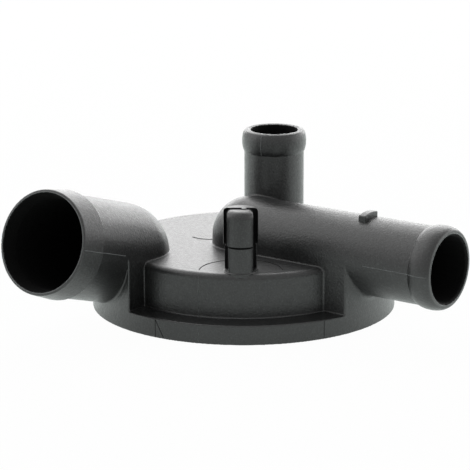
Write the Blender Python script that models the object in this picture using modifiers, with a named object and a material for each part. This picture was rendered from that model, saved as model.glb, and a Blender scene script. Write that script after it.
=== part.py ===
"""Crankcase ventilation valve: a diaphragm pressure regulator with three hose ports.

The valve stands on its round skirt with its front towards -Y. Crankcase gas enters the
drum through the wide inlet at the front left, passes between the valve plate and the seat
on the valve's axis, and leaves through the outlet at the front right. A third, upright port
opens into the side of the outlet. A rubber diaphragm, clamped above the bottom cover,
carries the valve plate; the return spring holds it away from the seat.

Units are metres, +Z is up, and the origin is the centre of the bottom face. Azimuths are
measured in degrees from the front (-Y) towards the right (+X).
"""
from math import cos, pi, radians, sin

import bmesh
import bpy
from mathutils import Matrix, Vector

# Fits
FIT_GAP = 0.0003
RUNNING_GAP = 0.00034
SEAT_GAP = 0.0002

# Stack under the seat, from the bottom up
COVER_THICKNESS = 0.0012
SUPPORT_THICKNESS = 0.0014
DIAPHRAGM_THICKNESS = 0.0007
PLATE_THICKNESS = 0.0012
PLATE_RIM_HEIGHT = 0.0006
STROKE = 0.0024

# Drum and skirt of the housing
SKIRT_RADIUS = 0.0400
SKIRT_WALL = 0.0024
LEDGE_THICKNESS = 0.0017
DRUM_INSET = 0.0062
DRUM_WALL = 0.0022
DRUM_TOP = 0.0165
DRUM_TOP_WALL = 0.0020
DRUM_EDGE_RADIUS = 0.0010
DRUM_FOOT_FILLET = 0.0005

# Inlet, at the front left; its axis passes beside the valve's axis and rises to the mouth
INLET_AZIMUTH = -35.3
INLET_RISE = 17.0
INLET_REACH = 0.0570
INLET_OFFSET = 0.0212
INLET_END = 0.0265
INLET_SINK = 0.0007
INLET_RADIUS = 0.0133
INLET_WALL = 0.0017
INLET_MOUTH_WALL = 0.0009
INLET_FLARE_LENGTH = 0.0040
INLET_RIM_HEIGHT = 0.0001
INLET_RIM_ROUND = 0.0004
INLET_RIM_ROUND_LENGTH = 0.0008
INLET_BEAD_HEIGHT = 0.0006
INLET_BEAD_LENGTH = 0.0074
INLET_BEAD_STEP = 0.0007

# Outlet, at the front right; level, on a line through the valve's axis
OUTLET_AZIMUTH = 54.2
OUTLET_REACH = 0.0631
OUTLET_RADIUS = 0.0101
OUTLET_WALL = 0.0016
OUTLET_FACE_ROUND = 0.0005
OUTLET_BEAD_HEIGHT = 0.00065
OUTLET_BEAD_LENGTH = 0.0060
KNEE_WALL = 0.0014

# Step at the parting line: the walls under the pipes stand this far inside the pipes
PARTING_STEP = 0.0001

# Key rib over the outlet, which turns the hose the right way round
RIB_SETBACK = 0.0238
RIB_THICKNESS = 0.0022
RIB_HEIGHT = 0.0014
RIB_FRONT = 0.0036
RIB_BACK = 0.0022

# Upright port, behind the outlet
TOP_PORT_HEIGHT = 0.0284
TOP_PORT_ALONG = 0.0015
TOP_PORT_OVERLAP = 0.0030
TOP_PORT_RADIUS = 0.0079
TOP_PORT_WALL = 0.0017
TOP_PORT_FACE_ROUND = 0.0004
TOP_PORT_BEAD_HEIGHT = 0.0006
TOP_PORT_BEAD_LENGTH = 0.0057

# Fixing pin on the drum, at the front
PIN_AZIMUTH = -1.5
PIN_INSET = 0.0045
PIN_LENGTH = 0.0162
PIN_SHANK_LENGTH = 0.0070
PIN_SHANK_RADIUS = 0.0041
PIN_HEAD_RADIUS = 0.0044
PIN_HEAD_ROUND = 0.0010
PIN_FOOT_RADIUS = 0.0049
PIN_FOOT_HEIGHT = 0.0005

# Seat tube under the outlet, and the spring that stands in it
SEAT_BORE_RADIUS = 0.0064
SEAT_WALL = 0.0018
SEAT_CHAMFER = 0.0008
SEAT_BORE_OVERLAP = 0.0005
SPRING_RADIUS = 0.0036
SPRING_WIRE = 0.0008
SPRING_ACTIVE_TURNS = 6
SPRING_END_TURNS = 1
SPRING_PAD_DROP = 0.0035
SPRING_PAD_MARGIN = 0.0004
SPRING_GUIDE_LENGTH = 0.0015
SPRING_GUIDE_GAP = 0.0005

# Diaphragm and the plates on either side of it
BEAD_HEIGHT = 0.0016
BEAD_WIDTH = 0.0042
BEAD_ROOM = 0.0006
ROLL_HEIGHT = 0.0022
ROLL_START = 0.0012
ROLL_END = 0.0006
PLATE_RADIUS = 0.0195
PLATE_RIM_WIDTH = 0.0009
PLATE_RIB_COUNT = 12
PLATE_RIB_WIDTH = 0.0010
PLATE_RIB_DROP = 0.0001
SPIGOT_HEIGHT = 0.0016
SUPPORT_RADIUS = 0.0185
EDGE_CHAMFER = 0.0003

# Rivet that clamps the stack
RIVET_RADIUS = 0.0015
RIVET_HEAD_RADIUS = 0.0032
RIVET_HEAD_HEIGHT = 0.0006
RIVET_TAIL_RADIUS = 0.0024
RIVET_TAIL_HEIGHT = 0.0007

# Bottom cover
COVER_RECESS_DEPTH = 0.0004
COVER_HUB_RADIUS = 0.0088
COVER_RIM_WIDTH = 0.0065
COVER_SLOPE = 0.0004
VENT_RADIUS = 0.0010
VENT_DISTANCE = 0.0200

# Facets
DRUM_SEGMENTS = 72
DISC_SEGMENTS = 48
PIPE_SEGMENTS = 40
SMALL_SEGMENTS = 32
WIRE_POINTS_PER_TURN = 12
WIRE_SIDE_STEPS = 2
BEAD_STEPS = 5
DOME_STEPS = 7
ROLL_STEPS = 8
EDGE_STEPS = 4
INNER_EDGE_STEPS = 3
FILLET_STEPS = 2

# How far a cutter or a trimmed blank runs past the face that it makes
OVERRUN = 0.0030
MERGE_DISTANCE = 0.000002

# Heights that follow from the stack
SUPPORT_BOTTOM = COVER_THICKNESS + FIT_GAP
WEB_BOTTOM = SUPPORT_BOTTOM + SUPPORT_THICKNESS + FIT_GAP
WEB_TOP = WEB_BOTTOM + DIAPHRAGM_THICKNESS
PLATE_BOTTOM = WEB_TOP + FIT_GAP
PLATE_FACE = PLATE_BOTTOM + PLATE_THICKNESS
SEAT_HEIGHT = PLATE_FACE + STROKE + SEAT_GAP
LEDGE_HEIGHT = COVER_THICKNESS + FIT_GAP + BEAD_HEIGHT + FIT_GAP
SKIRT_HEIGHT = LEDGE_HEIGHT + LEDGE_THICKNESS
CEILING_HEIGHT = DRUM_TOP - DRUM_TOP_WALL
OUTLET_BORE_RADIUS = OUTLET_RADIUS - OUTLET_WALL
OUTLET_HEIGHT = PLATE_FACE + STROKE + PLATE_RIM_HEIGHT + RUNNING_GAP + OUTLET_RADIUS
OUTLET_CROWN = OUTLET_HEIGHT + OUTLET_BORE_RADIUS
SPRING_PAD_HEIGHT = OUTLET_CROWN - SPRING_PAD_DROP
SPIGOT_TOP = PLATE_FACE + SPIGOT_HEIGHT

# Radii and places that follow from neighbours
DRUM_RADIUS = SKIRT_RADIUS - DRUM_INSET
CHAMBER_RADIUS = DRUM_RADIUS - DRUM_WALL
POCKET_RADIUS = SKIRT_RADIUS - SKIRT_WALL
COVER_RADIUS = POCKET_RADIUS - FIT_GAP
COVER_FIELD_RADIUS = COVER_RADIUS - COVER_RIM_WIDTH
BEAD_OUTER_RADIUS = POCKET_RADIUS - BEAD_ROOM
BEAD_INNER_RADIUS = BEAD_OUTER_RADIUS - BEAD_WIDTH
SPRING_INNER_RADIUS = SPRING_RADIUS - SPRING_WIRE / 2
SPRING_OUTER_RADIUS = SPRING_RADIUS + SPRING_WIRE / 2
GUIDE_RADIUS = SPRING_INNER_RADIUS - SPRING_GUIDE_GAP
RIVET_HOLE_RADIUS = RIVET_RADIUS + FIT_GAP
INLET_BORE_RADIUS = INLET_RADIUS - INLET_WALL
INLET_RIM_RADIUS = INLET_RADIUS + INLET_RIM_HEIGHT
INLET_MOUTH_BORE_RADIUS = INLET_RIM_RADIUS - INLET_MOUTH_WALL
INLET_LENGTH = (INLET_REACH - INLET_END) / cos(radians(INLET_RISE))
OUTLET_FACE_RADIUS = OUTLET_RADIUS - OUTLET_FACE_ROUND
OUTLET_END = OUTLET_RADIUS - SEAT_BORE_RADIUS - KNEE_WALL
TOP_PORT_BORE_RADIUS = TOP_PORT_RADIUS - TOP_PORT_WALL
TOP_PORT_FACE_RADIUS = TOP_PORT_RADIUS - TOP_PORT_FACE_ROUND
TOP_PORT_BEHIND = OUTLET_BORE_RADIUS + TOP_PORT_BORE_RADIUS - TOP_PORT_OVERLAP
TOP_PORT_TOP = DRUM_TOP + TOP_PORT_HEIGHT


def clear_scene():
    """Remove every object, so that the file holds the valve alone."""
    for old in list(bpy.data.objects):
        bpy.data.objects.remove(old, do_unlink=True)


def new_collection(name):
    """Return a new collection linked to the scene."""
    collection = bpy.data.collections.new(name)
    bpy.context.scene.collection.children.link(collection)
    return collection


def make_material(name, colour, roughness, metallic=0.0):
    """Return a Principled material of one colour."""
    material = bpy.data.materials.new(name)
    material.use_nodes = True
    shader = material.node_tree.nodes["Principled BSDF"]
    shader.inputs["Base Color"].default_value = (*colour, 1.0)
    shader.inputs["Roughness"].default_value = roughness
    shader.inputs["Metallic"].default_value = metallic
    material.diffuse_color = (*colour, 1.0)
    return material


def place(name, mesh, collection, matrix=None):
    """Link a mesh as a named object at a placement."""
    item = bpy.data.objects.new(name, mesh)
    collection.objects.link(item)
    if matrix is not None:
        item.matrix_world = matrix
    return item


def as_tool(item):
    """Mark an object as a Boolean operand, which isn't a piece of the valve."""
    item.hide_render = True
    item.display_type = "WIRE"
    return item


def turned(name, profile, collection, segments, matrix=None, ring=False):
    """Turn a profile of (radius, height) points about Z.

    The profile runs down the outer side. A solid starts and ends on the axis; a ring's
    profile is a closed loop that goes back up the inner side.
    """
    points = [(radius, 0.0, height) for radius, height in profile]
    edges = [(index, index + 1) for index in range(len(points) - 1)]
    if ring:
        edges.append((len(points) - 1, 0))
    mesh = bpy.data.meshes.new(name)
    mesh.from_pydata(points, edges, [])
    item = place(name, mesh, collection, matrix)
    screw = item.modifiers.new("turn", "SCREW")
    screw.axis = "Z"
    screw.angle = 2 * pi
    screw.steps = segments
    screw.render_steps = segments
    screw.use_merge_vertices = True
    screw.merge_threshold = MERGE_DISTANCE
    screw.use_smooth_shade = False
    return item


def prism(name, outline, depth, collection, matrix):
    """Extrude a flat outline from its plane along the placement's +Z."""
    curve = bpy.data.curves.new(name + "_outline", "CURVE")
    curve.dimensions = "2D"
    curve.fill_mode = "BOTH"
    curve.extrude = depth / 2
    spline = curve.splines.new("POLY")
    spline.points.add(len(outline) - 1)
    for point, (across, along) in zip(spline.points, outline):
        point.co = (across, along, 0.0, 1.0)
    spline.use_cyclic_u = True
    return mesh_from_curve(name, curve, collection, matrix @ Matrix.Translation((0, 0, depth / 2)))


def mesh_from_curve(name, curve, collection, matrix=None):
    """Turn a curve into a closed mesh object and remove the curve."""
    guide = place(name + "_guide", curve, collection)
    bpy.context.view_layer.update()
    evaluated = guide.evaluated_get(bpy.context.evaluated_depsgraph_get())
    mesh = bpy.data.meshes.new_from_object(evaluated)
    bpy.data.objects.remove(guide, do_unlink=True)
    shape = bmesh.new()
    shape.from_mesh(mesh)
    bmesh.ops.remove_doubles(shape, verts=shape.verts, dist=MERGE_DISTANCE)
    bmesh.ops.recalc_face_normals(shape, faces=shape.faces)
    shape.to_mesh(mesh)
    shape.free()
    return place(name, mesh, collection, matrix)


def combine(target, operation, tools, home):
    """Join, cut or trim the target with one or more tools in a single exact Boolean.

    The weld after it removes the slivers that a cut through facets leaves.
    """
    step = target.modifiers.new(tools[0].name, "BOOLEAN")
    step.operation = operation
    step.solver = "EXACT"
    if len(tools) == 1:
        step.object = as_tool(tools[0])
    else:
        group = bpy.data.collections.new(tools[0].name + "_group")
        home.children.link(group)
        for tool in tools:
            home.objects.unlink(tool)
            group.objects.link(as_tool(tool))
        step.operand_type = "COLLECTION"
        step.collection = group
    weld = target.modifiers.new(tools[0].name + "_weld", "WELD")
    weld.merge_threshold = MERGE_DISTANCE


def finish(item, material):
    """Give a piece its material."""
    item.data.materials.clear()
    item.data.materials.append(material)
    return item


def arc(centre, radii, start, end, steps):
    """Return points on an elliptical arc; angles in degrees from the radial direction."""
    angles = [radians(start + (end - start) * index / steps) for index in range(steps + 1)]
    return [
        (centre[0] + radii[0] * cos(angle), centre[1] + radii[1] * sin(angle))
        for angle in angles
    ]


def direction(azimuth):
    """Return the level unit vector at an azimuth."""
    angle = radians(azimuth)
    return Vector((sin(angle), -cos(angle), 0.0))


def sideways(azimuth):
    """Return the level unit vector a quarter turn on from an azimuth."""
    return direction(azimuth + 90.0)


def pipe_frame(azimuth, rise, origin):
    """Return a placement whose +Z runs along a pipe to its mouth and whose +Y is upwards."""
    level = direction(azimuth)
    side = sideways(azimuth)
    along = level * cos(radians(rise)) + Vector((0, 0, sin(radians(rise))))
    up = along.cross(side)
    rotation = Matrix((side, up, along)).transposed()
    return Matrix.Translation(origin) @ rotation.to_4x4()


def beaded_mouth(length, body_radius, face_radius, bead_height, bead_length):
    """Return a hose bead's profile from the mouth's axis point back to the plain pipe.

    The front is a quarter ellipse from the flat face to the crest, and the back eases from
    the crest down to the pipe along half a cosine wave.
    """
    crest = body_radius + bead_height
    half = bead_length / 2
    front = arc((face_radius, length - half), (crest - face_radius, half), 90, 0, BEAD_STEPS)
    back = []
    for step in range(1, BEAD_STEPS + 1):
        share = step / BEAD_STEPS
        radius = body_radius + bead_height * (1 + cos(pi * share)) / 2
        back.append((radius, length - half - half * share))
    return [(0.0, length)] + front + back


def domed_pipe(mouth, radius):
    """Return a pipe's outer profile: its mouth, its plain length and its round blind end."""
    return mouth + arc((0.0, 0.0), (radius, radius), 0, -90, DOME_STEPS)[:-1] + [(0.0, -radius)]


def capsule_outline(half_width, length):
    """Return the outline of a blind pipe seen from above, with its round end at the origin."""
    steps = PIPE_SEGMENTS // 2
    round_end = [
        (half_width * cos(angle), half_width * sin(angle))
        for angle in (pi + pi * step / steps for step in range(steps + 1))
    ]
    return round_end + [(half_width, length), (-half_width, length)]


def pipe_skirt(name, frame, half_width, length, collection):
    """Return the straight-sided block that stands under a pipe, from its middle plane down."""
    downwards = frame @ Matrix.Rotation(radians(90.0), 4, "X")
    depth = 2 * DRUM_TOP + INLET_LENGTH
    return prism(name, capsule_outline(half_width, length), depth, collection, downwards)


def inlet_frame():
    """Return the inlet's placement, at the centre of its round inner end."""
    centre = direction(INLET_AZIMUTH) * INLET_END - sideways(INLET_AZIMUTH) * INLET_OFFSET
    centre.z = DRUM_TOP - INLET_SINK
    return pipe_frame(INLET_AZIMUTH, INLET_RISE, centre)


def outlet_frame():
    """Return the outlet's placement, at the centre of its round inner end."""
    centre = direction(OUTLET_AZIMUTH) * OUTLET_END
    centre.z = OUTLET_HEIGHT
    return pipe_frame(OUTLET_AZIMUTH, 0.0, centre)


def top_port_place():
    """Return the upright port's axis point at height zero."""
    along = direction(OUTLET_AZIMUTH) * TOP_PORT_ALONG
    return along + sideways(OUTLET_AZIMUTH) * TOP_PORT_BEHIND


def drum_blank(collection):
    """Return the turned drum on an oversize flange, which the trim cylinder cuts to size."""
    edge = DRUM_EDGE_RADIUS
    foot = DRUM_FOOT_FILLET
    profile = [(0.0, DRUM_TOP)]
    profile += arc((DRUM_RADIUS - edge, DRUM_TOP - edge), (edge, edge), 90, 0, EDGE_STEPS)
    profile += arc((DRUM_RADIUS + foot, SKIRT_HEIGHT + foot), (foot, foot), 180, 270, FILLET_STEPS)
    profile += [
        (SKIRT_RADIUS + OVERRUN, SKIRT_HEIGHT),
        (SKIRT_RADIUS + OVERRUN, -OVERRUN),
        (0.0, -OVERRUN),
    ]
    return turned("housing", profile, collection, DRUM_SEGMENTS)


def trim_cylinder(tools):
    """Return the cylinder that gives the skirt and the walls under the pipes one outer face."""
    top = DRUM_TOP + INLET_LENGTH
    profile = [(0.0, top), (SKIRT_RADIUS, top), (SKIRT_RADIUS, 0.0), (0.0, 0.0)]
    return turned("trim_cylinder", profile, tools, DRUM_SEGMENTS)


def chamber_tool(tools):
    """Return the drum's inside, with the wider pocket that takes the diaphragm and the cover."""
    round_off = DRUM_EDGE_RADIUS
    profile = [(0.0, CEILING_HEIGHT)]
    corner = (CHAMBER_RADIUS - round_off, CEILING_HEIGHT - round_off)
    profile += arc(corner, (round_off, round_off), 90, 0, INNER_EDGE_STEPS)
    profile += [
        (CHAMBER_RADIUS, LEDGE_HEIGHT),
        (POCKET_RADIUS, LEDGE_HEIGHT),
        (POCKET_RADIUS, -OVERRUN),
        (0.0, -OVERRUN),
    ]
    return turned("chamber", profile, tools, DRUM_SEGMENTS)


def inlet_body(tools):
    """Return the inlet's outer form, with the long shallow bead behind its rounded rim."""
    length = INLET_LENGTH
    rim_flat = INLET_RIM_RADIUS - INLET_RIM_ROUND
    rim_back = length - INLET_RIM_ROUND_LENGTH
    crest = INLET_RADIUS + INLET_BEAD_HEIGHT
    mouth = [(0.0, length)]
    rim_round = (INLET_RIM_ROUND, INLET_RIM_ROUND_LENGTH)
    mouth += arc((rim_flat, rim_back), rim_round, 90, 0, INNER_EDGE_STEPS)
    mouth += [
        (crest, length - INLET_BEAD_LENGTH),
        (INLET_RADIUS, length - INLET_BEAD_LENGTH - INLET_BEAD_STEP),
    ]
    profile = domed_pipe(mouth, INLET_RADIUS)
    return turned("inlet_body", profile, tools, PIPE_SEGMENTS, inlet_frame())


def inlet_bore(tools):
    """Return the inlet's bore: flared at the mouth, and kept off the ledge by a flat floor."""
    length = INLET_LENGTH
    flare = (INLET_MOUTH_BORE_RADIUS - INLET_BORE_RADIUS) / INLET_FLARE_LENGTH
    mouth = [
        (0.0, length + OVERRUN),
        (INLET_MOUTH_BORE_RADIUS + flare * OVERRUN, length + OVERRUN),
        (INLET_BORE_RADIUS, length - INLET_FLARE_LENGTH),
    ]
    profile = domed_pipe(mouth, INLET_BORE_RADIUS)
    bore = turned("inlet_bore", profile, tools, PIPE_SEGMENTS, inlet_frame())
    floor_profile = [
        (0.0, SKIRT_HEIGHT),
        (SKIRT_RADIUS, SKIRT_HEIGHT),
        (SKIRT_RADIUS, -INLET_RADIUS),
        (0.0, -INLET_RADIUS),
    ]
    floor = turned("inlet_floor", floor_profile, tools, DRUM_SEGMENTS)
    combine(bore, "DIFFERENCE", [floor], tools)
    return bore


def outlet_body(tools):
    """Return the outlet's outer form, with a barrel bead at its mouth."""
    length = OUTLET_REACH - OUTLET_END
    mouth = beaded_mouth(
        length, OUTLET_RADIUS, OUTLET_FACE_RADIUS, OUTLET_BEAD_HEIGHT, OUTLET_BEAD_LENGTH
    )
    profile = domed_pipe(mouth, OUTLET_RADIUS)
    return turned("outlet_body", profile, tools, PIPE_SEGMENTS, outlet_frame())


def outlet_bore(tools):
    """Return the outlet's bore, less the pad that the return spring presses against."""
    mouth = [(0.0, OUTLET_REACH - OUTLET_END + OVERRUN)]
    mouth.append((OUTLET_BORE_RADIUS, OUTLET_REACH - OUTLET_END + OVERRUN))
    profile = domed_pipe(mouth, OUTLET_BORE_RADIUS)
    bore = turned("outlet_bore", profile, tools, PIPE_SEGMENTS, outlet_frame())
    top = OUTLET_CROWN + OVERRUN
    pad_radius = SPRING_OUTER_RADIUS + SPRING_PAD_MARGIN
    guide_foot = SPRING_PAD_HEIGHT - SPRING_GUIDE_LENGTH
    pad_profile = [
        (0.0, top),
        (pad_radius, top),
        (pad_radius, SPRING_PAD_HEIGHT),
        (GUIDE_RADIUS, SPRING_PAD_HEIGHT),
        (GUIDE_RADIUS, guide_foot + EDGE_CHAMFER),
        (GUIDE_RADIUS - EDGE_CHAMFER, guide_foot),
        (0.0, guide_foot),
    ]
    pad = turned("spring_pad", pad_profile, tools, SMALL_SEGMENTS)
    combine(bore, "DIFFERENCE", [pad], tools)
    return bore


def seat_tube(tools):
    """Return the tube that hangs from the drum's top wall and carries the seat."""
    outer = SEAT_BORE_RADIUS + SEAT_WALL
    root = DRUM_TOP - DRUM_TOP_WALL / 2
    profile = [
        (0.0, root),
        (outer, root),
        (outer, SEAT_HEIGHT + SEAT_CHAMFER),
        (outer - SEAT_CHAMFER, SEAT_HEIGHT),
        (0.0, SEAT_HEIGHT),
    ]
    return turned("seat_tube", profile, tools, PIPE_SEGMENTS)


def seat_bore(tools):
    """Return the bore from the seat up into the outlet."""
    foot = SEAT_HEIGHT - OVERRUN
    top = OUTLET_HEIGHT + SEAT_BORE_OVERLAP
    profile = [
        (0.0, top),
        (SEAT_BORE_RADIUS, top),
        (SEAT_BORE_RADIUS, foot),
        (0.0, foot),
    ]
    return turned("seat_bore", profile, tools, PIPE_SEGMENTS)


def key_rib(tools):
    """Return the short arched rib over the outlet: a ring, trimmed by an upright block."""
    frame = outlet_frame()
    centre = OUTLET_REACH - OUTLET_END - RIB_SETBACK
    inner = OUTLET_RADIUS - KNEE_WALL / 2
    outer = OUTLET_RADIUS + RIB_HEIGHT
    half = RIB_THICKNESS / 2
    profile = [
        (outer, centre + half),
        (outer, centre - half),
        (inner, centre - half),
        (inner, centre + half),
    ]
    rib = turned("key_rib", profile, tools, PIPE_SEGMENTS, frame, ring=True)
    reach = 2 * outer
    outline = [(-RIB_FRONT, 0.0), (-RIB_FRONT, reach), (RIB_BACK, reach), (RIB_BACK, 0.0)]
    lift = Matrix.Translation((0, 0, centre - RIB_THICKNESS))
    block = prism("rib_block", outline, 2 * RIB_THICKNESS, tools, frame @ lift)
    combine(rib, "INTERSECT", [block], tools)
    return rib


def top_port_body(tools):
    """Return the upright port's outer form, rooted in the drum's top wall."""
    root = DRUM_TOP - DRUM_TOP_WALL / 2
    mouth = beaded_mouth(
        TOP_PORT_TOP,
        TOP_PORT_RADIUS,
        TOP_PORT_FACE_RADIUS,
        TOP_PORT_BEAD_HEIGHT,
        TOP_PORT_BEAD_LENGTH,
    )
    profile = mouth + [(TOP_PORT_RADIUS, root), (0.0, root)]
    placement = Matrix.Translation(top_port_place())
    return turned("top_port_body", profile, tools, SMALL_SEGMENTS, placement)


def top_port_bore(tools):
    """Return the upright port's bore, which breaks into the side of the outlet's bore."""
    top = TOP_PORT_TOP + OVERRUN
    profile = [
        (0.0, top),
        (TOP_PORT_BORE_RADIUS, top),
        (TOP_PORT_BORE_RADIUS, DRUM_TOP),
        (0.0, DRUM_TOP),
    ]
    placement = Matrix.Translation(top_port_place())
    return turned("top_port_bore", profile, tools, SMALL_SEGMENTS, placement)


def fixing_pin(tools):
    """Return the pin that snaps into a grommet: foot, shank and a slightly wider head."""
    foot = DRUM_TOP + PIN_FOOT_HEIGHT
    step = DRUM_TOP + PIN_SHANK_LENGTH
    top = DRUM_TOP + PIN_LENGTH
    shoulder = (PIN_HEAD_RADIUS - PIN_HEAD_ROUND, top - PIN_HEAD_ROUND)
    profile = [(0.0, top)]
    profile += arc(shoulder, (PIN_HEAD_ROUND, PIN_HEAD_ROUND), 90, 0, EDGE_STEPS)
    profile += [
        (PIN_HEAD_RADIUS, step),
        (PIN_SHANK_RADIUS, step),
        (PIN_SHANK_RADIUS, foot),
        (PIN_FOOT_RADIUS, DRUM_TOP),
        (PIN_FOOT_RADIUS, DRUM_TOP - DRUM_TOP_WALL / 2),
        (0.0, DRUM_TOP - DRUM_TOP_WALL / 2),
    ]
    centre = direction(PIN_AZIMUTH) * (DRUM_RADIUS - PIN_INSET)
    return turned("fixing_pin", profile, tools, SMALL_SEGMENTS, Matrix.Translation(centre))


def build_housing(collection, tools, material):
    """Build the one-piece moulded housing: drum, skirt, three ports, pin, rib and seat."""
    housing = drum_blank(collection)
    inlet_half = INLET_RADIUS - PARTING_STEP
    outlet_half = OUTLET_RADIUS - PARTING_STEP
    skirts = [
        pipe_skirt("inlet_skirt", inlet_frame(), inlet_half, INLET_LENGTH, tools),
        pipe_skirt("outlet_skirt", outlet_frame(), outlet_half, OUTLET_REACH, tools),
    ]
    added = [
        outlet_body(tools),
        seat_tube(tools),
        top_port_body(tools),
        fixing_pin(tools),
        key_rib(tools),
    ]
    bores = [inlet_bore(tools), outlet_bore(tools), seat_bore(tools), top_port_bore(tools)]
    combine(housing, "UNION", skirts, tools)
    combine(housing, "INTERSECT", [trim_cylinder(tools)], tools)
    combine(housing, "UNION", [inlet_body(tools)], tools)
    combine(housing, "DIFFERENCE", [chamber_tool(tools)], tools)
    combine(housing, "UNION", added, tools)
    combine(housing, "DIFFERENCE", bores, tools)
    return finish(housing, material)


def build_cover(collection, tools, material):
    """Build the bottom cover: a flush disc with a recessed field and a vent hole."""
    rim = COVER_FIELD_RADIUS
    hub = COVER_HUB_RADIUS
    recess = COVER_RECESS_DEPTH
    profile = [
        (0.0, COVER_THICKNESS),
        (COVER_RADIUS, COVER_THICKNESS),
        (COVER_RADIUS, EDGE_CHAMFER),
        (COVER_RADIUS - EDGE_CHAMFER, 0.0),
        (rim, 0.0),
        (rim - COVER_SLOPE, recess),
        (hub + COVER_SLOPE, recess),
        (hub, 0.0),
        (0.0, 0.0),
    ]
    cover = turned("bottom_cover", profile, collection, DRUM_SEGMENTS)
    vent_profile = [
        (0.0, COVER_THICKNESS + OVERRUN),
        (VENT_RADIUS, COVER_THICKNESS + OVERRUN),
        (VENT_RADIUS, -OVERRUN),
        (0.0, -OVERRUN),
    ]
    placement = Matrix.Translation(direction(180.0) * VENT_DISTANCE)
    vent = turned("vent_hole", vent_profile, tools, SMALL_SEGMENTS // 2, placement)
    combine(cover, "DIFFERENCE", [vent], tools)
    return finish(cover, material)


def roll_profile():
    """Return the middle line of the diaphragm's roll, from the web out to the bead.

    The line falls evenly from the web to the bead, with half a sine wave on top of it.
    """
    start = PLATE_RADIUS + ROLL_START
    end = CHAMBER_RADIUS - ROLL_END
    web_middle = (WEB_BOTTOM + WEB_TOP) / 2
    bead_middle = COVER_THICKNESS + FIT_GAP + BEAD_HEIGHT / 2
    line = []
    for step in range(ROLL_STEPS + 1):
        share = step / ROLL_STEPS
        radius = start + (end - start) * share
        height = web_middle + (bead_middle - web_middle) * share + ROLL_HEIGHT * sin(pi * share)
        line.append((radius, height))
    return line


def build_diaphragm(collection, material):
    """Build the diaphragm: a flat web, one rolling convolution and a thick clamped bead."""
    half = DIAPHRAGM_THICKNESS / 2
    bead_bottom = COVER_THICKNESS + FIT_GAP
    bead_top = bead_bottom + BEAD_HEIGHT
    line = roll_profile()
    upper = [(radius, height + half) for radius, height in line]
    lower = [(radius, height - half) for radius, height in reversed(line)]
    edge_height = line[-1][1]
    profile = [(RIVET_HOLE_RADIUS, WEB_TOP)] + upper
    profile += [
        (BEAD_INNER_RADIUS, edge_height + half),
        (BEAD_INNER_RADIUS, bead_top),
        (BEAD_OUTER_RADIUS, bead_top),
        (BEAD_OUTER_RADIUS, bead_bottom),
        (BEAD_INNER_RADIUS, bead_bottom),
        (BEAD_INNER_RADIUS, edge_height - half),
    ]
    profile += lower + [(RIVET_HOLE_RADIUS, WEB_BOTTOM)]
    return finish(turned("diaphragm", profile, collection, DISC_SEGMENTS, ring=True), material)


def build_support_plate(collection, material):
    """Build the plate under the diaphragm, with a pocket for the rivet's head."""
    bottom = SUPPORT_BOTTOM
    top = bottom + SUPPORT_THICKNESS
    pocket = RIVET_HEAD_RADIUS + FIT_GAP
    pocket_roof = bottom + RIVET_HEAD_HEIGHT + FIT_GAP
    chamfer = EDGE_CHAMFER
    profile = [
        (RIVET_HOLE_RADIUS, top),
        (SUPPORT_RADIUS - chamfer, top),
        (SUPPORT_RADIUS, top - chamfer),
        (SUPPORT_RADIUS, bottom + chamfer),
        (SUPPORT_RADIUS - chamfer, bottom),
        (pocket, bottom),
        (pocket, pocket_roof),
        (RIVET_HOLE_RADIUS, pocket_roof),
    ]
    return finish(turned("support_plate", profile, collection, DISC_SEGMENTS, ring=True), material)


def plate_ribs(tools):
    """Return the valve plate's radial ribs, which run from outside the seat to the rim."""
    inner = SEAT_BORE_RADIUS + SEAT_WALL + FIT_GAP
    outer = PLATE_RADIUS - PLATE_RIM_WIDTH / 2
    bottom = PLATE_FACE - PLATE_THICKNESS / 2
    top = PLATE_FACE + PLATE_RIM_HEIGHT - PLATE_RIB_DROP
    size = Matrix.Diagonal((outer - inner, PLATE_RIB_WIDTH, top - bottom, 1.0))
    middle = Matrix.Translation(((inner + outer) / 2, 0.0, (bottom + top) / 2))
    shape = bmesh.new()
    for index in range(PLATE_RIB_COUNT):
        turn = Matrix.Rotation(2 * pi * index / PLATE_RIB_COUNT, 4, "Z")
        bmesh.ops.create_cube(shape, size=1.0, matrix=turn @ middle @ size)
    mesh = bpy.data.meshes.new("plate_ribs")
    shape.to_mesh(mesh)
    shape.free()
    return place("plate_ribs", mesh, tools)


def build_valve_plate(collection, tools, material):
    """Build the plate that closes on the seat: rim, radial ribs, flat land and spring spigot."""
    rim_inner = PLATE_RADIUS - PLATE_RIM_WIDTH
    rim_top = PLATE_FACE + PLATE_RIM_HEIGHT
    chamfer = EDGE_CHAMFER
    profile = [
        (RIVET_HOLE_RADIUS, SPIGOT_TOP),
        (GUIDE_RADIUS - chamfer, SPIGOT_TOP),
        (GUIDE_RADIUS, SPIGOT_TOP - chamfer),
        (GUIDE_RADIUS, PLATE_FACE),
        (rim_inner, PLATE_FACE),
        (rim_inner, rim_top),
        (PLATE_RADIUS, rim_top),
        (PLATE_RADIUS, PLATE_BOTTOM + chamfer),
        (PLATE_RADIUS - chamfer, PLATE_BOTTOM),
        (RIVET_HOLE_RADIUS, PLATE_BOTTOM),
    ]
    plate = turned("valve_plate", profile, collection, DISC_SEGMENTS, ring=True)
    combine(plate, "UNION", [plate_ribs(tools)], tools)
    return finish(plate, material)


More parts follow.
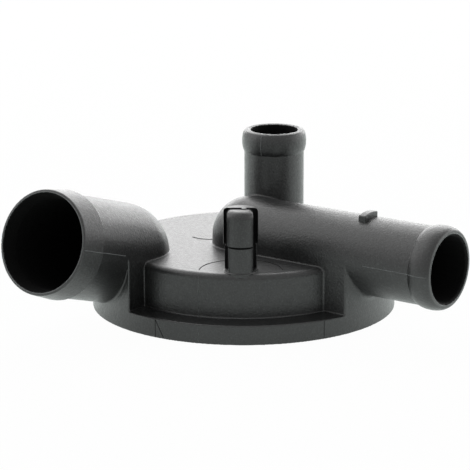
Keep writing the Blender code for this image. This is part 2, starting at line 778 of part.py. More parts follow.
def build_rivet(collection, material):
    """Build the rivet: head in the support plate's pocket, set tail on the spigot."""
    head_top = SUPPORT_BOTTOM + RIVET_HEAD_HEIGHT
    tail_bottom = SPIGOT_TOP + FIT_GAP
    tail_top = tail_bottom + RIVET_TAIL_HEIGHT
    chamfer = EDGE_CHAMFER
    profile = [
        (0.0, tail_top),
        (RIVET_TAIL_RADIUS - chamfer, tail_top),
        (RIVET_TAIL_RADIUS, tail_top - chamfer),
        (RIVET_TAIL_RADIUS, tail_bottom),
        (RIVET_RADIUS, tail_bottom),
        (RIVET_RADIUS, head_top),
        (RIVET_HEAD_RADIUS, head_top),
        (RIVET_HEAD_RADIUS, SUPPORT_BOTTOM),
        (0.0, SUPPORT_BOTTOM),
    ]
    return finish(turned("centre_rivet", profile, collection, SMALL_SEGMENTS), material)


def spring_points():
    """Return the spring's middle line: closed end turns, with open turns between them."""
    low = PLATE_FACE + FIT_GAP + SPRING_WIRE / 2
    high = SPRING_PAD_HEIGHT - FIT_GAP - SPRING_WIRE / 2
    end_rise = SPRING_END_TURNS * (SPRING_WIRE + FIT_GAP)
    open_pitch = (high - low - 2 * end_rise) / SPRING_ACTIVE_TURNS
    turns = SPRING_ACTIVE_TURNS + 2 * SPRING_END_TURNS
    count = turns * WIRE_POINTS_PER_TURN
    points = []
    for index in range(count + 1):
        turn = index / WIRE_POINTS_PER_TURN
        opened = min(max(turn - SPRING_END_TURNS, 0.0), SPRING_ACTIVE_TURNS)
        closed = turn - opened
        height = low + closed * (SPRING_WIRE + FIT_GAP) + opened * open_pitch
        angle = 2 * pi * turn
        points.append((SPRING_RADIUS * cos(angle), SPRING_RADIUS * sin(angle), height))
    return points


def build_spring(collection, material):
    """Build the return spring, a round wire along a helix."""
    curve = bpy.data.curves.new("return_spring", "CURVE")
    curve.dimensions = "3D"
    curve.bevel_depth = SPRING_WIRE / 2
    curve.bevel_resolution = WIRE_SIDE_STEPS
    curve.use_fill_caps = True
    spline = curve.splines.new("POLY")
    points = spring_points()
    spline.points.add(len(points) - 1)
    for point, place_at in zip(spline.points, points):
        point.co = (*place_at, 1.0)
    return finish(mesh_from_curve("return_spring", curve, collection), material)


def smooth_round_pieces(collection, sharp_angle=30.0):
    """Shade the turned pieces smooth, with their real edges kept sharp."""
    for item in collection.objects:
        item.data.shade_smooth()
        item.data.set_sharp_from_angle(angle=radians(sharp_angle))


def main():
    """Build the valve."""
    clear_scene()
    pieces = new_collection("crankcase_ventilation_valve")
    tools = new_collection("shaping_tools")
    nylon = make_material("glass_filled_nylon", (0.035, 0.037, 0.038), 0.55)
    cover_nylon = make_material("cover_nylon", (0.030, 0.031, 0.032), 0.60)
    rubber = make_material("diaphragm_rubber", (0.018, 0.018, 0.019), 0.75)
    plate_plastic = make_material("plate_plastic", (0.10, 0.10, 0.10), 0.50)
    support_plastic = make_material("support_plastic", (0.09, 0.09, 0.095), 0.50)
    zinc = make_material("zinc_plated_steel", (0.55, 0.55, 0.53), 0.35, 1.0)
    spring_steel = make_material("spring_steel", (0.42, 0.42, 0.43), 0.30, 1.0)
    build_housing(pieces, tools, nylon)
    build_cover(pieces, tools, cover_nylon)
    build_diaphragm(pieces, rubber)
    build_support_plate(pieces, support_plastic)
    build_valve_plate(pieces, tools, plate_plastic)
    build_rivet(pieces, zinc)
    build_spring(pieces, spring_steel)
    smooth_round_pieces(pieces)


if __name__ == "__main__":
    main()
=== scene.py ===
"""Crankcase ventilation valve: the looks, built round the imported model.

The moulded housing, its fixing pin and its key rib are worked out as fields of distances,
so that every join has the fillet of a real moulding, and are meshed from them. The moulding
lines are swept profiles. Lengths are in millimetres, and in the studio in metres.
"""
from __future__ import annotations

import logging
from collections.abc import Callable
from dataclasses import dataclass, field
from enum import Enum
from functools import cached_property
from math import pi, radians

import bmesh
import bpy
import numpy as np
from bpy.types import ID, Material, Mesh, Node, NodeSocket, Object, World
from mathutils import Matrix, Vector

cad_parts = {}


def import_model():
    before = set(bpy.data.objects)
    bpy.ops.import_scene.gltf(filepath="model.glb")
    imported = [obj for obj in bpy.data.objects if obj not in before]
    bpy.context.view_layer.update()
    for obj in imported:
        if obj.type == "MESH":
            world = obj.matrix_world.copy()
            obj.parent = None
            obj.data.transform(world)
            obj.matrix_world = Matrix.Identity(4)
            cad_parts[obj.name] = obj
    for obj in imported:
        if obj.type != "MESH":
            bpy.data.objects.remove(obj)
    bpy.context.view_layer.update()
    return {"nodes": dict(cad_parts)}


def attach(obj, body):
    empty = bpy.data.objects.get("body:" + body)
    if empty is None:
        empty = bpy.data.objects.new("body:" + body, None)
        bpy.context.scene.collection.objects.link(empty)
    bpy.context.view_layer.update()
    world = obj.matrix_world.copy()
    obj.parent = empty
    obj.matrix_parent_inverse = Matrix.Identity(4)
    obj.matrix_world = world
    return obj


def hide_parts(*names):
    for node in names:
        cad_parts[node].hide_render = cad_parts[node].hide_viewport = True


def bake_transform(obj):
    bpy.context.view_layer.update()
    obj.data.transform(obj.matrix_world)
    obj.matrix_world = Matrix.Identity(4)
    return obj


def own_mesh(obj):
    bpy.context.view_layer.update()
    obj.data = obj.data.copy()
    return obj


LOG = logging.getLogger("valve")
MM = 0.001
TINY = 1e-6
Array = np.ndarray
Shape = Callable[[Array, Array, Array], Array]  # a field: from x, y and z to distances


class Body(Enum):
    """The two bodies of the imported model."""

    HOUSING = "valve_body"
    PLATE = "valve_group"


class Slot(Enum):
    """The material slots of the record."""

    HOUSING = "housing"
    COVER = "cover"
    RUBBER = "rubber"
    PLATE = "plate"
    SUPPORT = "support"
    RIVET = "rivet"
    SPRING = "spring"


# Fields of distances: negative inside, positive outside, in millimetres


def fillet_union(first: Array, second: Array, radius: Array | float) -> Array:
    """Join two fields with a fillet.

    Formula: the larger of the radius and the smaller distance, less the length of the
    vector (radius - first, radius - second), with each part at least zero.

    Args:
        first: Distances to one solid.
        second: Distances to the other solid.
        radius: Fillet radius, one value or one for each point.

    Returns:
        Distances to the joined solid.
    """
    near = np.maximum(radius - first, 0.0) ** 2 + np.maximum(radius - second, 0.0) ** 2
    return np.maximum(radius, np.minimum(first, second)) - np.sqrt(near)


def rounded_common(first: Array, second: Array, radius: float) -> Array:
    """Keep what two fields share, with the edge between them rounded.

    Formula: that of the fillet, with every sign turned.

    Args:
        first: Distances to one solid.
        second: Distances to the other solid.
        radius: Edge radius.

    Returns:
        Distances to the common solid.
    """
    return -fillet_union(-first, -second, radius)


def smooth_step(low: float, high: float, value: Array) -> Array:
    """Return 0 below low, 1 above high, and 3t^2 - 2t^3 between them."""
    share = np.clip((value - low) / (high - low), 0.0, 1.0)
    return share * share * (3.0 - 2.0 * share)


def level_direction(azimuth: float) -> Array:
    """Return the level unit vector at an azimuth, in degrees from the front to the right."""
    return np.array((np.sin(radians(azimuth)), -np.cos(radians(azimuth)), 0.0))


def unit_rows(rows: Array) -> Array:
    """Return rows of vectors at length one."""
    return rows / np.maximum(np.linalg.norm(rows, axis=1), TINY)[:, None]


def ring_path(centre: tuple[float, float], radius: float, height: float | Array,
              start: float, end: float, count: int) -> Array:
    """Return points on a level circle.

    Args:
        centre: The circle's x and y.
        radius: The circle's radius.
        height: One height, or one for each point.
        start: First azimuth, in degrees from the front to the right.
        end: Last azimuth.
        count: Number of points.

    Returns:
        Rows of coordinates.
    """
    turn = np.radians(np.linspace(start, end, count))
    return np.stack((centre[0] + radius * np.sin(turn), centre[1] - radius * np.cos(turn),
                     height + 0.0 * turn), axis=1)


def half_round(width: float, height: float, sunk: float = 0.1) -> Array:
    """Return the outline of a moulding line: a low dome on a foot sunk into the surface."""
    angle = np.linspace(0.0, pi, 7)
    dome = np.stack((width / 2 * np.cos(angle), height * np.sin(angle)), axis=1)
    return np.concatenate((dome, ((-width / 2, -sunk), (width / 2, -sunk))))


@dataclass(frozen=True)
class Placement:
    """Where a pipe stands: its round inner end, and the way to its mouth."""

    azimuth: float
    rise: float
    origin: tuple[float, float, float]

    def axes(self) -> Array:
        """Return the unit vectors sideways, up and along, as rows."""
        side = level_direction(self.azimuth + 90.0)
        level = level_direction(self.azimuth)
        along = level * np.cos(radians(self.rise))
        along[2] = np.sin(radians(self.rise))
        return np.array((side, np.cross(along, side), along))

    def local(self, x: Array, y: Array, z: Array) -> tuple[Array, Array, Array]:
        """Return points as distances sideways, up and along from the origin."""
        dx, dy, dz = x - self.origin[0], y - self.origin[1], z - self.origin[2]
        side, up, along = (dx * a[0] + dy * a[1] + dz * a[2] for a in self.axes())
        return side, up, along

    def world(self, points: Array) -> Array:
        """Return local points, as rows, in the valve's frame."""
        return points @ self.axes() + np.array(self.origin)


@dataclass(frozen=True)
class HosePipe:
    """One pipe: its placement, its radii, the fillet under it and that of its walls."""

    place: Placement
    length: float
    radius: float
    bore: float
    fillet: float
    wall_fillet: float = 0.3

    def arch(self, side: Array, up: Array, along: Array) -> Array:
        """Return the field of the pipe's upper half with straight walls below it.

        Formula: the length of (side, up where above the axis, along where behind the
        inner end), less the radius.
        """
        high = np.maximum(up, 0.0)
        behind = np.minimum(along, 0.0)
        return np.sqrt(side**2 + high**2 + behind**2) - self.radius

    def distance(self, side: Array, up: Array, along: Array) -> Array:
        """Return the distance from the axis, or from the centre of the round inner end."""
        return np.sqrt(side**2 + up**2 + np.minimum(along, 0.0) ** 2)

    def under_fillet(self, up: Array) -> Array:
        """Return the fillet radius, which grows from nothing at mid-height to the underside."""
        return self.fillet * smooth_step(0.0, 0.8 * self.radius, -up)


@dataclass(frozen=True)
class InletPipe(HosePipe):
    """The wide inlet, with a long shallow bead behind its mouth and a flared bore."""

    rim: float = 13.35
    crest: float = 14.0
    bead: float = 7.3
    step: float = 0.8
    rim_round: float = 0.32
    mouth_bore: float = 12.55
    flare: float = 4.0

    def outer_radius(self, along: Array) -> Array:
        """Return the radius along the pipe: plain, up a short step, then tapering to the rim."""
        start = self.length - self.bead
        plain = self.radius + (self.crest - self.radius) * smooth_step(start - self.step, start, along)
        taper = (self.crest - self.rim) * np.clip((along - start) / self.bead, 0.0, 1.0)
        return plain - taper

    def outer(self, side: Array, up: Array, along: Array) -> Array:
        """Return the field of the solid pipe."""
        body = self.distance(side, up, along) - self.outer_radius(along)
        return rounded_common(body, along - self.length, self.rim_round)

    def hollow(self, side: Array, up: Array, along: Array) -> Array:
        """Return the field of the bore, which widens evenly over the last stretch."""
        spread = np.clip((along - self.length + self.flare) / self.flare, 0.0, 2.0)
        return self.distance(side, up, along) - self.bore - (self.mouth_bore - self.bore) * spread


@dataclass(frozen=True)
class BeadedPipe(HosePipe):
    """A pipe whose mouth has a barrel bead: the outlet and the upright port."""

    face: float = 9.6
    height: float = 0.65
    bead: float = 6.0
    crease: float = 0.45
    chamfer: float = 0.5

    def outer_radius(self, along: Array) -> Array:
        """Return the radius along the pipe.

        Formula: half a cosine wave up to the crest, half a bead behind the mouth, then
        constant. The share of the way is raised to a power below one, which leaves the
        crease behind the bead.
        """
        share = np.clip((along - self.length + self.bead) / (self.bead / 2), 0.0, 1.0)
        return self.radius + self.height * (1.0 - np.cos(pi * share**self.crease)) / 2.0

    def outer(self, side: Array, up: Array, along: Array) -> Array:
        """Return the field of the solid pipe.

        The front of the bead is a quarter ellipse from the crest in to the flat face; its
        field is the ellipse's equation divided by the length of its slope.
        """
        half = self.bead / 2
        crest_at = self.length - half
        rho = self.distance(side, up, along)
        body = np.maximum(rho - self.outer_radius(along), along - self.length)
        wide = self.radius + self.height - self.face
        across = np.maximum(rho - self.face, 0.0) / wide
        ahead = np.maximum(along - crest_at, 0.0) / half
        level = np.sqrt(across**2 + ahead**2) + TINY
        slope = np.sqrt((across / wide) ** 2 + (ahead / half) ** 2) + TINY
        front = (level - 1.0) * level / slope
        return np.where((rho > self.face) & (along > crest_at), front, body)

    def hollow(self, side: Array, up: Array, along: Array) -> Array:
        """Return the field of the bore, with a chamfer at its mouth."""
        chamfer = np.clip(along - self.length + self.chamfer, 0.0, 2.0 * self.chamfer)
        return self.distance(side, up, along) - self.bore - chamfer


def surface_of(shape: Shape, low: Array, high: Array, step: float) -> tuple[Array, Array]:
    """Mesh the surface where a field is zero.

    Every grid cell that the surface crosses gets one vertex, at the mean of the places
    where the surface crosses the cell's edges. Every grid edge that it crosses gets one
    quad, through the four cells round that edge.

    Args:
        shape: The field.
        low: Lowest corner of the grid.
        high: Highest corner of the grid.
        step: Spacing of the grid.

    Returns:
        The vertices, and the quads as rows of four vertex numbers.
    """
    ticks = [np.arange(a, b + step, step, dtype=np.float32) for a, b in zip(low, high)]
    grid = np.meshgrid(*ticks, indexing="ij", sparse=True)
    value = shape(*grid).astype(np.float32)
    inside = value < 0.0
    cells = np.array(value.shape) - 1
    stride = np.array((cells[1] * cells[2], cells[2], 1))
    total, places, numbers, quads = int(cells.prod()), [], [], []
    for axis in range(3):
        first = [slice(None)] * 3
        second = [slice(None)] * 3
        first[axis], second[axis] = slice(None, -1), slice(1, None)
        start, end = tuple(first), tuple(second)
        at = np.argwhere(inside[start] != inside[end])
        one, two = value[start][tuple(at.T)], value[end][tuple(at.T)]
        place = np.array(low) + at * step
        place[:, axis] += step * one / (one - two)
        b, c = (axis + 1) % 3, (axis + 2) % 3
        round_edge = []
        for shift_b, shift_c in ((-1, -1), (0, -1), (0, 0), (-1, 0)):
            cell = at.copy()
            cell[:, b] += shift_b
            cell[:, c] += shift_c
            round_edge.append(cell @ stride)
        ring = np.stack(round_edge, axis=1)
        quads.append(np.where((one < 0.0)[:, None], ring, ring[:, ::-1]))
        numbers.append(ring.ravel())
        places.append(np.repeat(place, 4, axis=0))
    number, place = np.concatenate(numbers), np.concatenate(places)
    count = np.bincount(number, minlength=total)
    used = np.flatnonzero(count)
    sums = [np.bincount(number, weights=place[:, a], minlength=total)[used] for a in range(3)]
    vertices = np.stack(sums, axis=1) / count[used][:, None]
    index = np.full(total, -1, dtype=np.int64)
    index[used] = np.arange(len(used))
    return vertices, index[np.concatenate(quads)]


def slope_of(shape: Shape, points: Array, reach: float = 0.02) -> tuple[Array, Array]:
    """Work out a field's values and its slopes, by central differences.

    Args:
        shape: The field.
        points: Rows of coordinates.
        reach: Step of the differences.

    Returns:
        The value at each point, and rows of slope vectors.
    """
    slope = np.empty_like(points)
    for axis in range(3):
        ahead, behind = points.copy(), points.copy()
        ahead[:, axis] += reach
        behind[:, axis] -= reach
        slope[:, axis] = (shape(*ahead.T) - shape(*behind.T)) / (2.0 * reach)
    return shape(*points.T), slope


def settle(shape: Shape, points: Array, rounds: int = 4, most: float = 0.25,
           least_slope: float = 0.05) -> Array:
    """Move points onto the zero surface of a field.

    Formula: each Newton step is the slope times the value, over the slope's squared length.

    Args:
        shape: The field.
        points: Rows of coordinates.
        rounds: Number of steps.
        most: Longest step.
        least_slope: Least squared length of the slope that a step divides by.

    Returns:
        The moved points.
    """
    points = points.copy()
    for _ in range(rounds):
        value, slope = slope_of(shape, points)
        steep = np.maximum((slope**2).sum(axis=1), least_slope)
        move = slope * (value / steep)[:, None]
        length = np.maximum(np.linalg.norm(move, axis=1), 1e-9)
        points -= move * np.minimum(1.0, most / length)[:, None]
    return points


def grid_quads(rows: int, columns: int, close_rows: bool, close_columns: bool) -> Array:
    """Join a grid of vertices by quads.

    Args:
        rows: Number of rows of vertices.
        columns: Number of vertices in a row.
        close_rows: Whether the last row joins the first one.
        close_columns: Whether each row is a ring.

    Returns:
        Rows of four vertex numbers, facing along the row direction times the columns'.
    """
    row = np.arange(rows if close_rows else rows - 1)
    column = np.arange(columns if close_columns else columns - 1)
    i, j = (a.ravel() for a in np.meshgrid(row, column, indexing="ij"))
    down, right = (i + 1) % rows, (j + 1) % columns
    return np.stack((i, down, down, i), 1) * columns + np.stack((j, j, right, right), 1)


def place_object(name: str, data: ID) -> Object:
    """Make an object from its data and link it to the scene."""
    item = bpy.data.objects.new(name, data)
    bpy.context.scene.collection.objects.link(item)
    return item


def mesh_object(name: str, vertices: Array, faces: list | Array, smooth: bool = True) -> Object:
    """Make a mesh object from vertices in millimetres and faces, at the origin.

    Args:
        name: Name of the object.
        vertices: Rows of coordinates.
        faces: Lists of vertex numbers, or an array of quads.
        smooth: Whether the faces are shaded smooth.

    Returns:
        The new object, linked to the scene.
    """
    mesh = bpy.data.meshes.new(name)
    if isinstance(faces, np.ndarray):
        mesh.vertices.add(len(vertices))
        mesh.vertices.foreach_set("co", (vertices * MM).astype(np.float32).ravel())
        mesh.loops.add(faces.size)
        mesh.loops.foreach_set("vertex_index", faces.astype(np.int32).ravel())
        mesh.polygons.add(len(faces))
        mesh.polygons.foreach_set("loop_start", np.arange(0, faces.size, 4, dtype=np.int32))
        mesh.update(calc_edges=True)
    else:
        mesh.from_pydata((vertices * MM).tolist(), [], faces)
    mesh.polygons.foreach_set("use_smooth", np.full(len(mesh.polygons), smooth))
    return place_object(name, mesh)


def tidy_mesh(item: Object, distance: float = 0.001) -> None:
    """Merge a closed mesh's doubled points and turn its faces outwards."""
    shape = bmesh.new()
    shape.from_mesh(item.data)
    bmesh.ops.remove_doubles(shape, verts=shape.verts, dist=distance * MM)
    bmesh.ops.recalc_face_normals(shape, faces=shape.faces)
    shape.to_mesh(item.data)
    shape.free()


def turned(name: str, profile: Array, segments: int = 160, sharp: float = 35.0) -> Object:
    """Turn a closed profile about the valve's axis.

    Formula: each profile point (radius, height) becomes (radius cos a, radius sin a,
    height) for evenly spaced angles a.

    Args:
        name: Name of the object.
        profile: Rows of radius and height, down the outer side and back up the inner one.
        segments: Number of angles.
        sharp: Angle in degrees above which an edge stays sharp.

    Returns:
        The new object.
    """
    angle = np.linspace(0.0, 2.0 * pi, segments, endpoint=False)
    radius, height = profile[:, :1], profile[:, 1:]
    points = np.stack((radius * np.cos(angle), radius * np.sin(angle), height + 0.0 * angle), axis=-1)
    faces = grid_quads(len(profile), segments, True, True)
    item = mesh_object(name, points.reshape(-1, 3), faces)
    tidy_mesh(item)
    item.data.shade_smooth()
    item.data.set_sharp_from_angle(angle=radians(sharp))
    return item


def swept(name: str, path: Array, across: Array, up: Array, outline: Array) -> Object:
    """Carry a closed outline along a path and close both ends.

    Formula: each vertex is path point + outline x times the across vector + outline y
    times the up vector.

    Args:
        name: Name of the object.
        path: Rows of points.
        across: Unit vector across the path at each point.
        up: Unit vector up from the path at each point.
        outline: Rows of x and y, anticlockwise when seen against the path's direction.

    Returns:
        The new object.
    """
    ring = outline[None, :, :1] * across[:, None, :] + outline[None, :, 1:] * up[:, None, :]
    points = (path[:, None, :] + ring).reshape(-1, 3)
    columns = len(outline)
    faces = grid_quads(len(path), columns, False, True).tolist()
    faces.append(list(range(columns)))
    faces.append(list(range(len(points) - columns, len(points)))[::-1])
    item = mesh_object(name, points, faces)
    tidy_mesh(item, 0.0005)
    return item


def field_normals(mesh: Mesh, shape: Shape, points: Array, reach: float = 0.02) -> None:
    """Give a mesh the normals of the field that it was meshed from, at its points."""
    slope = unit_rows(slope_of(shape, points, reach)[1])
    mesh.normals_split_custom_set_from_vertices(slope.astype(np.float32))


def solid_of(name: str, shape: Shape, low: tuple, high: tuple, step: float) -> Object:
    """Mesh a small solid from its field of distances, with the field's own normals.

    Args:
        name: Name of the object.
        shape: The field.
        low: Lowest corner of the space that holds it.
        high: Highest corner of that space.
        step: Spacing of the grid.

    Returns:
        The new object.
    """
    vertices, quads = surface_of(shape, np.array(low), np.array(high), step)
    points = settle(shape, vertices, 4, 0.5 * step)
    item = mesh_object(name, points, quads)
    field_normals(item.data, shape, points, 0.25 * step)
    return item


def face_centres(mesh: Mesh) -> Array:
    """Return the centre of every face, in millimetres."""
    centres = np.empty(len(mesh.polygons) * 3, np.float32)
    mesh.polygons.foreach_get("center", centres)
    return centres.reshape(-1, 3).astype(float) / MM


# Finishes


class NodeBoard:
    """The node tree of a material or of the world, with short calls to add nodes."""

    def __init__(self, owner: Material | World) -> None:
        """Open the tree."""
        owner.use_nodes = True
        self.owner = owner
        self.tree = owner.node_tree

    @property
    def shader(self) -> Node:
        """The material's Principled shader."""
        return self.tree.nodes["Principled BSDF"]

    @cached_property
    def object_place(self) -> NodeSocket:
        """The Object coordinates."""
        return self.add("TexCoord").outputs["Object"]

    def fill(self, node: Node, inputs: dict) -> None:
        """Set a node's inputs, each to a value or to another node's output."""
        for key, value in inputs.items():
            if isinstance(value, NodeSocket):
                self.tree.links.new(value, node.inputs[key])
            else:
                node.inputs[key].default_value = value

    def add(self, kind: str, inputs: dict | None = None, **settings: str) -> Node:
        """Add a node.

        Args:
            kind: Type of the node, without its prefix.
            inputs: Values or other nodes' outputs, by the input's name or number.
            **settings: The node's own settings.

        Returns:
            The new node.
        """
        node = self.tree.nodes.new("ShaderNode" + kind)
        for key, value in settings.items():
            setattr(node, key, value)
        self.fill(node, inputs or {})
        return node

    def noise(self, scale: float, detail: float = 3.0, roughness: float = 0.5) -> NodeSocket:
        """Add noise on Object coordinates, with its scale per metre, and return its value."""
        inputs = {"Scale": scale, "Detail": detail, "Roughness": roughness, "Vector": self.object_place}
        return self.add("TexNoise", inputs).outputs["Fac"]

    def spread(self, source: NodeSocket, low: float, high: float,
               start: float = 0.3, end: float = 0.7) -> NodeSocket:
        """Map a value's range, from start to end, to the one from low to high."""
        ends = {"From Min": start, "From Max": end, "To Min": low, "To Max": high}
        return self.add("MapRange", {"Value": source, **ends}).outputs["Result"]

    def mix(self, share: NodeSocket, first: tuple, second: tuple) -> NodeSocket:
        """Mix two colours by a share and return the colour."""
        colours = {"A": (*first, 1.0), "B": (*second, 1.0)}
        return self.add("Mix", {"Factor": share, **colours}, data_type="RGBA").outputs["Result"]

    def choose(self, share: NodeSocket, off: float | NodeSocket,
               on: float | NodeSocket) -> NodeSocket:
        """Return one value where a share is 0 and another where it is 1."""
        return self.add("Mix", {"Factor": share, "A": off, "B": on}).outputs["Result"]

    def is_ray(self, *names: str) -> NodeSocket:
        """Return 1 where the ray is one of the named kinds, and 0 elsewhere."""
        rays = self.add("LightPath").outputs
        total = rays[names[0]]
        for name in names[1:]:
            total = self.add("Math", {0: total, 1: rays[name]}, operation="MAXIMUM").outputs["Value"]
        return total

    def bump(self, height: NodeSocket, strength: float, depth: float) -> NodeSocket:
        """Add a bump with its depth in metres and return the normal."""
        inputs = {"Strength": strength, "Distance": depth, "Height": height}
        return self.add("Bump", inputs).outputs["Normal"]


@dataclass(frozen=True)
class MouldedFinish:
    """Moulded plastic or rubber: fine grain, light flecks and uneven gloss.

    Formula of the colour: dark to light by fine noise, whose start sets how rare the
    light flecks are.
    """

    name: str
    dark: tuple[float, float, float]
    light: tuple[float, float, float]
    rough_low: float
    rough_high: float
    specular: float = 0.5
    coat: float = 0.0
    coat_roughness: float = 0.30
    fleck: float = 2100.0
    fleck_start: float = 0.3
    fleck_end: float = 0.74
    patch: float = 900.0
    grain: float = 1700.0
    grain_depth: float = 0.00012
    grain_strength: float = 0.8

    def make(self) -> Material:
        """Build the material."""
        board = NodeBoard(bpy.data.materials.new(self.name))
        share = board.spread(board.noise(self.fleck, 3.0, 0.6), 0.0, 1.0, self.fleck_start, self.fleck_end)
        grain = board.noise(self.grain, 4.0, 0.6)
        board.fill(board.shader, {
            "Base Color": board.mix(share, self.dark, self.light),
            "Roughness": board.spread(board.noise(self.patch, 4.0), self.rough_low, self.rough_high),
            "Normal": board.bump(grain, self.grain_strength, self.grain_depth),
            "Specular IOR Level": self.specular,
            "Coat Weight": self.coat,
            "Coat Roughness": self.coat_roughness,
        })
        return board.owner


@dataclass(frozen=True)
class MetalFinish:
    """Plated or drawn steel with fine brushed unevenness."""

    name: str
    dark: tuple[float, float, float]
    light: tuple[float, float, float]
    rough_low: float
    rough_high: float
    patch: float = 1200.0
    brush: float = 3000.0
    grain: float = 5000.0
    grain_depth: float = 0.000004
    grain_strength: float = 0.15

    def make(self) -> Material:
        """Build the material."""
        board = NodeBoard(bpy.data.materials.new(self.name))
        shade = board.spread(board.noise(self.patch, 5.0), 0.0, 1.0)
        board.fill(board.shader, {
            "Base Color": board.mix(shade, self.dark, self.light),
            "Roughness": board.spread(board.noise(self.brush), self.rough_low, self.rough_high),
            "Normal": board.bump(board.noise(self.grain, 2.0), self.grain_strength, self.grain_depth),
            "Metallic": 1.0,
        })
        return board.owner


@dataclass(frozen=True)
class Finishes:
    """Every finish of the valve, made once."""

    nylon: MouldedFinish = MouldedFinish(
        "glass_filled_nylon", (0.0010, 0.0012, 0.0012), (0.032, 0.0345, 0.034), 0.38, 0.47,
        specular=0.56, coat=0.12, fleck_start=0.48,
    )
    # bore: painted shade, a near-black matt copy of the nylon laid on the bores, the drum's inside, the
    # pin's slots and neck and the shut lines, where shade falls
    bore: MouldedFinish = MouldedFinish(
        "painted_shade_nylon", (0.003, 0.003, 0.003), (0.005, 0.005, 0.005), 0.70, 0.80, specular=0.12
    )
    # painted highlight: a light copy of the nylon for the parting lines and mouth rims, standing in for
    # the light they catch
    painted_highlight: MouldedFinish = MouldedFinish(
        "painted_highlight_nylon", (0.13, 0.136, 0.137), (0.18, 0.188, 0.19), 0.40, 0.50
    )
    cover: MouldedFinish = MouldedFinish(
        "cover_nylon", (0.020, 0.021, 0.0215), (0.027, 0.028, 0.0285), 0.48, 0.58
    )
    rubber: MouldedFinish = MouldedFinish(
        "diaphragm_rubber", (0.012, 0.012, 0.0125), (0.019, 0.019, 0.0195), 0.66, 0.80
    )
    plate: MouldedFinish = MouldedFinish(
        "plate_plastic", (0.085, 0.085, 0.085), (0.115, 0.115, 0.113), 0.42, 0.55
    )
    support: MouldedFinish = MouldedFinish(
        "support_plastic", (0.075, 0.075, 0.08), (0.10, 0.10, 0.105), 0.42, 0.55
    )
    zinc: MetalFinish = MetalFinish("zinc_plate", (0.48, 0.48, 0.46), (0.60, 0.60, 0.58), 0.28, 0.42)
    wire: MetalFinish = MetalFinish("spring_wire", (0.36, 0.36, 0.37), (0.48, 0.48, 0.49), 0.22, 0.36)


def dress(item: Object, material: Material) -> None:
    """Put a finish in every material slot of an object, or add one."""
    if not item.material_slots:
        item.data.materials.append(material)
    for slot in item.material_slots:
        slot.material = material


def dress_two(item: Object, outer: Material, inner: Material,
              painted_shade_faces: Array) -> None:
    """Give an object two finishes.

    Args:
        item: The object.
        outer: Finish of the other faces.
        inner: Finish of the faces with painted shade.
        painted_shade_faces: True for each face that gets the painted shade.
    """
    item.data.materials.append(outer)
    item.data.materials.append(inner)
    item.data.polygons.foreach_set("material_index", painted_shade_faces.astype(np.int32))


def hand_over(item: Object, body: Body, slot: Slot, *nodes: str) -> None:
    """Make a piece ride on its body and hide the nodes that it stands for."""
    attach(item, body.value)
    if nodes:
        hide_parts(*nodes)
    LOG.info("%s: %d faces, on %s", item.name, len(item.data.polygons), body.value)


